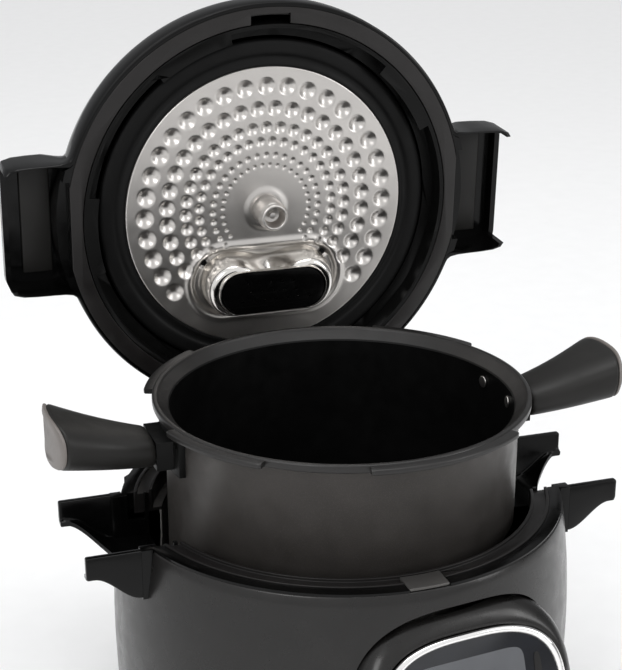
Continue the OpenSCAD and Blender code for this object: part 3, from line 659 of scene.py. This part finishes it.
def base_shell():
    """Barrel-shaped housing with its openings cut in."""
    top = COLLAR_Z - 2.2
    wall = 2.6
    heights = [lerp(SHELL_LOW + 1, top - 0.8, i / 28) for i in range(29)]
    profile = [(120, SHELL_LOW), (barrel(SHELL_LOW) - 1, SHELL_LOW)]
    profile += [(barrel(z), z) for z in heights]
    profile += [(barrel(top) - 0.3, top - 0.25), (barrel(top) - 0.9, top), (barrel(top) - wall, top)]
    profile += [(barrel(z) - wall, z) for z in reversed(heights[2:])]
    profile += [(120, SHELL_LOW + 3)]
    mesh = mesh_from("base_shell", *lathe(profile, 288))
    ear_y = (-EAR_OUT - CUT_GAP, EAR_OUT + CUT_GAP)
    ear_z = (EAR_LOW - CUT_GAP, COLLAR_Z + 2)
    cutters = [block_mesh((-200, -100), ear_y, ear_z), block_mesh((100, 200), ear_y, ear_z),
               block_mesh((-52.2, 52.2), (110, 170), (20.8, 84.2)),
               block_mesh((-34.2, 34.2), (130, 170), (182.8, COLLAR_Z + 2))]
    seat = [[(x, y, z) for x, y in superellipse(BEZEL_A + 10.2, BEZEL_B + 18.2)] for z in (-70, 20)]
    cutters.append(mesh_from("seat", *skin(seat), POD_POSE))
    finish_piece("base_shell_skin", carve(mesh, cutters), "base", "shell_grey", ["base_shell"])


# ---- control pod ----

def pod():
    def ring(a, b, z, n=3.0):
        return [(x, y, z) for x, y in superellipse(a, b, n)]

    a, b = BEZEL_A + 10, BEZEL_B + 18
    rings = [ring(a, b, -60), ring(a, b, -19), ring(a - 0.4, b - 0.6, -13), ring(a - 1.3, b - 2.2, -8.2),
             ring(a - 2.8, b - 5.2, -4.6), ring(a - 4.6, b - 8.8, -2.1), ring(a - 6.4, b - 12.4, -0.7),
             ring(BEZEL_A + 1.8, BEZEL_B + 2.6, 0.1), ring(BEZEL_A + 0.6, BEZEL_B + 0.6, -0.4),
             ring(BEZEL_A + 0.4, BEZEL_B + 0.4, -2.6), ring(BEZEL_A - 6, BEZEL_B - 6, -2.8),
             ring(BEZEL_A - 6, BEZEL_B - 6, -4)]
    mesh = mesh_from("pod", *skin(rings, caps=False), POD_POSE)
    mesh = with_modifiers(mesh, ("SOLIDIFY", {"thickness": 1.2 * MM, "offset": -1.0}))
    core = mesh_from("core", *lathe([(0.01, 20), (141.5, 20), (141.5, 230), (0.01, 230)], 128))
    mesh = carve(mesh, [core])
    finish_piece("panel_pod_skin", mesh, "base", "shell_grey", ["panel_pod"], auto=45)

    outer, inner = 0.0, 4.6
    profile = [(outer + 0.3, 0.05), (outer, 1.0), (outer + 0.5, 2.4), (outer + 1.5, 3.2), (outer + 2.6, 3.3),
               (outer + 3.8, 2.5), (inner, 1.2), (inner, 0.1)]
    rings = [ring(BEZEL_A - inset, BEZEL_B - inset, z) for inset, z in profile]
    finish_piece("panel_bezel_skin", mesh_from("bezel", *torus_skin(rings), POD_POSE), "base", "chrome",
                 ["panel_bezel"], auto=60)

    ga, gb = BEZEL_A - 4.7, BEZEL_B - 4.7
    rings = [ring(ga, gb, 0.0), ring(ga, gb, 1.0)]
    rings += [ring(ga * s, gb * s, 1.0 + 1.0 * (1 - s * s), lerp(2.4, 3.0, s))
              for s in (0.98, 0.9, 0.75, 0.55, 0.35, 0.15, 0.02)]
    finish_piece("panel_glass_skin", mesh_from("glass", *skin(rings), POD_POSE), "base", "glass_black",
                 ["panel_glass"], auto=30)

    def inlay(name, w, h, x, y, depth, slot_name, corner=5.0):
        shape = superellipse(w / 2, h / 2, corner)
        skirt = 0.48
        rings = []
        for s in (1.0, 0.97, 0.6, 0.2, 0.02):
            outline = [(x + px * s, y + py * s) for px, py in shape]
            rings.append([(u, v, 1.0 + 1.0 * (1 - (u / ga) ** 2 * 0.5 - (v / gb) ** 2 * 0.5) + depth)
                          for u, v in outline])
        base = [(u, v, w - skirt) for u, v, w in rings[0]]
        mesh = mesh_from(name, *skin([base] + rings), POD_POSE)
        return finish_piece(name, mesh, "base", slot_name, auto=40)

    inlay("screen_window", 78, 50, -3, 12, 0.08, "screen", 9.0)
    for k in range(3):
        inlay("touch_key_%d" % (k + 1), 11, 11, -26 + 26 * k, -29, 0.06, "screen", 2.0)
    inlay("touch_strip", 5, 40, 45, 10, 0.05, "shell_grey", 4.0)


# ---- sensor ----

def sensor_spring():
    """Coil under the temperature sensor, which the pot presses down; here it keeps its CAD shape, on a mesh
    of its own.
    """
    mesh = frame["nodes"]["sensor_spring"].data.copy()
    piece = finish_piece("sensor_spring_wire", mesh, "base", "steel", ["sensor_spring"], auto=70)
    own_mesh(piece)


# ---- all pieces ----

lid_shell()
sub_lid()
valve_cover()
nut()
seal()
grips()
pod()
pot()
base_shell()
ear_trays()
sensor_spring()
rounded("front_tab", 0.8, mats=[TAB_GREY])
# Edge rounding of the remaining nodes, in millimetres
EDGES = {
    "rail_ring": 0.6, "inner_liner": 0.3, "well_floor": 0.3, "heating_plate": 0.8, "bottom_cover": 0.8,
    "feet": 1.0, "rear_plate": 0.5, "inlet_socket": 0.8, "switch_frame": 0.6, "switch_rocker": 0.5,
    "cup_holder": 0.5, "condensate_cup": 0.8, "hinge_bracket": 0.8, "hinge_pin": 0.4,
    "lid_trim_ring": 0.5, "lid_core": 0.5, "lid_stud": 0.4, "steam_vent": 0.6, "ear_pads": 1.2,
    "lock_ring": 0.5, "lock_spindle": 0.4, "lock_handle": 1.6, "silent_valve": 0.4, "pressure_pin": 0.6,
    "pot_brackets": 1.0, "pot_rivets": 0.4, "sensor_plunger": 0.4, "sensor_cup": 0.3,
}
for node_name, edge in EDGES.items():
    rounded(node_name, edge)

for node_name, cad_object in frame["nodes"].items():
    if not cad_object.hide_render:
        cad_object.data.materials.clear()
        cad_object.data.materials.append(MATERIALS[SLOT_OF[node_name]])


# ---- floor, light and camera ----

def stage():
    size = 14.0
    points = [(-size, -size, 0), (size, -size, 0), (size, size, 0), (-size, size, 0)]
    mesh = bpy.data.meshes.new("floor")
    mesh.from_pydata(points, [], [(0, 1, 2, 3)])
    floor = bpy.data.objects.new("floor", mesh)
    bpy.context.scene.collection.objects.link(floor)
    mesh.materials.append(material("pale_floor", (0.90, 0.90, 0.90), 0.8, vary=0.01, specular=0.0))


def area_light(name, place, target, size, power, colour=(1, 1, 1)):
    data = bpy.data.lights.new(name, "AREA")
    data.shape = "RECTANGLE"
    data.size, data.size_y = size
    data.energy = power
    data.color = colour
    lamp = bpy.data.objects.new(name, data)
    lamp.location = place
    lamp.rotation_euler = (Vector(target) - Vector(place)).to_track_quat("-Z", "Y").to_euler()
    bpy.context.scene.collection.objects.link(lamp)


def light_and_camera():
    world = bpy.data.worlds.new("studio")
    world.use_nodes = True
    world.node_tree.nodes["Background"].inputs["Color"].default_value = (0.97, 0.98, 1.0, 1)
    world.node_tree.nodes["Background"].inputs["Strength"].default_value = 0.33
    bpy.context.scene.world = world
    sky = bpy.data.lights.new("sky", "SUN")
    sky.energy = 1.9
    sky.angle = math.radians(150)
    sun = bpy.data.objects.new("sky", sky)
    sun.rotation_euler = (math.radians(28), math.radians(-22), 0)
    bpy.context.scene.collection.objects.link(sun)
    area_light("key", (-1.3, -1.2, 1.5), (0, 0, 0.2), (0.9, 0.9), 15)
    area_light("fill", (1.5, -1.1, 1.0), (0, 0, 0.2), (0.5, 1.3), 10)
    area_light("top", (0.1, 0.2, 2.0), (0, 0.05, 0.2), (1.2, 0.9), 10)

    camera = bpy.data.cameras.new("camera")
    camera.sensor_width = 36
    camera.lens = 91.3
    camera.shift_x = 0.0033
    camera.shift_y = 0.0984
    camera.clip_end = 30
    eye = bpy.data.objects.new("camera", camera)
    eye.location = (-0.3505, -0.9611, 0.6803)
    yaw, pitch = math.radians(18.85), math.radians(21.96)
    ahead = Vector((math.sin(yaw) * math.cos(pitch), math.cos(yaw) * math.cos(pitch), -math.sin(pitch)))
    eye.rotation_euler = ahead.to_track_quat("-Z", "Y").to_euler()
    bpy.context.scene.collection.objects.link(eye)
    bpy.context.scene.camera = eye
    bpy.context.scene.view_settings.view_transform = "Standard"


stage()
light_and_camera()
